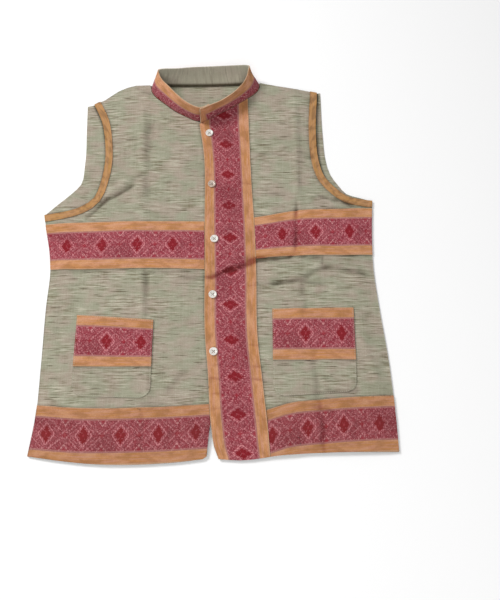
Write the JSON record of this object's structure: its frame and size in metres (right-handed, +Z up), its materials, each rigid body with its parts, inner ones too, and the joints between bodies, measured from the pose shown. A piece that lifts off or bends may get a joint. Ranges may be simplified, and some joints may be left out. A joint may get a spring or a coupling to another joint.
{
  "type": "short coat",
  "caption": "Sleeveless short coat laid flat: stand collar, buttoned front, patch pockets and woven border strips on handloom cloth.",
  "frame": {"origin": "on the floor under the middle of the coat's box", "axes": "+X to the wearer's left side, +Y from the hem to the collar, +Z up out of the front"},
  "size_m": [0.5765, 0.7018, 0.0437],
  "materials": {
    "cloth": "matt handloom cloth with slubs",
    "border_strip": "matt woven border",
    "bias_binding": "matt cotton binding",
    "button": "pearly gloss"
  },
  "bodies": {
    "root": {"back": "cloth", "front_right": "cloth", "front_left": "cloth", "collar": "cloth", "pocket_right": "cloth", "pocket_left": "cloth", "placket_band": "border_strip", "chest_band_right": "border_strip", "chest_band_left": "border_strip", "hem_band_right": "border_strip", "hem_band_left": "border_strip", "pocket_band_right": "border_strip", "pocket_band_left": "border_strip", "collar_band": "border_strip", "armhole_binding_right": "bias_binding", "armhole_binding_left": "bias_binding", "button_1": "button", "button_2": "button", "button_3": "button", "button_4": "button", "button_5": "button"}
  },
  "joints": []
}
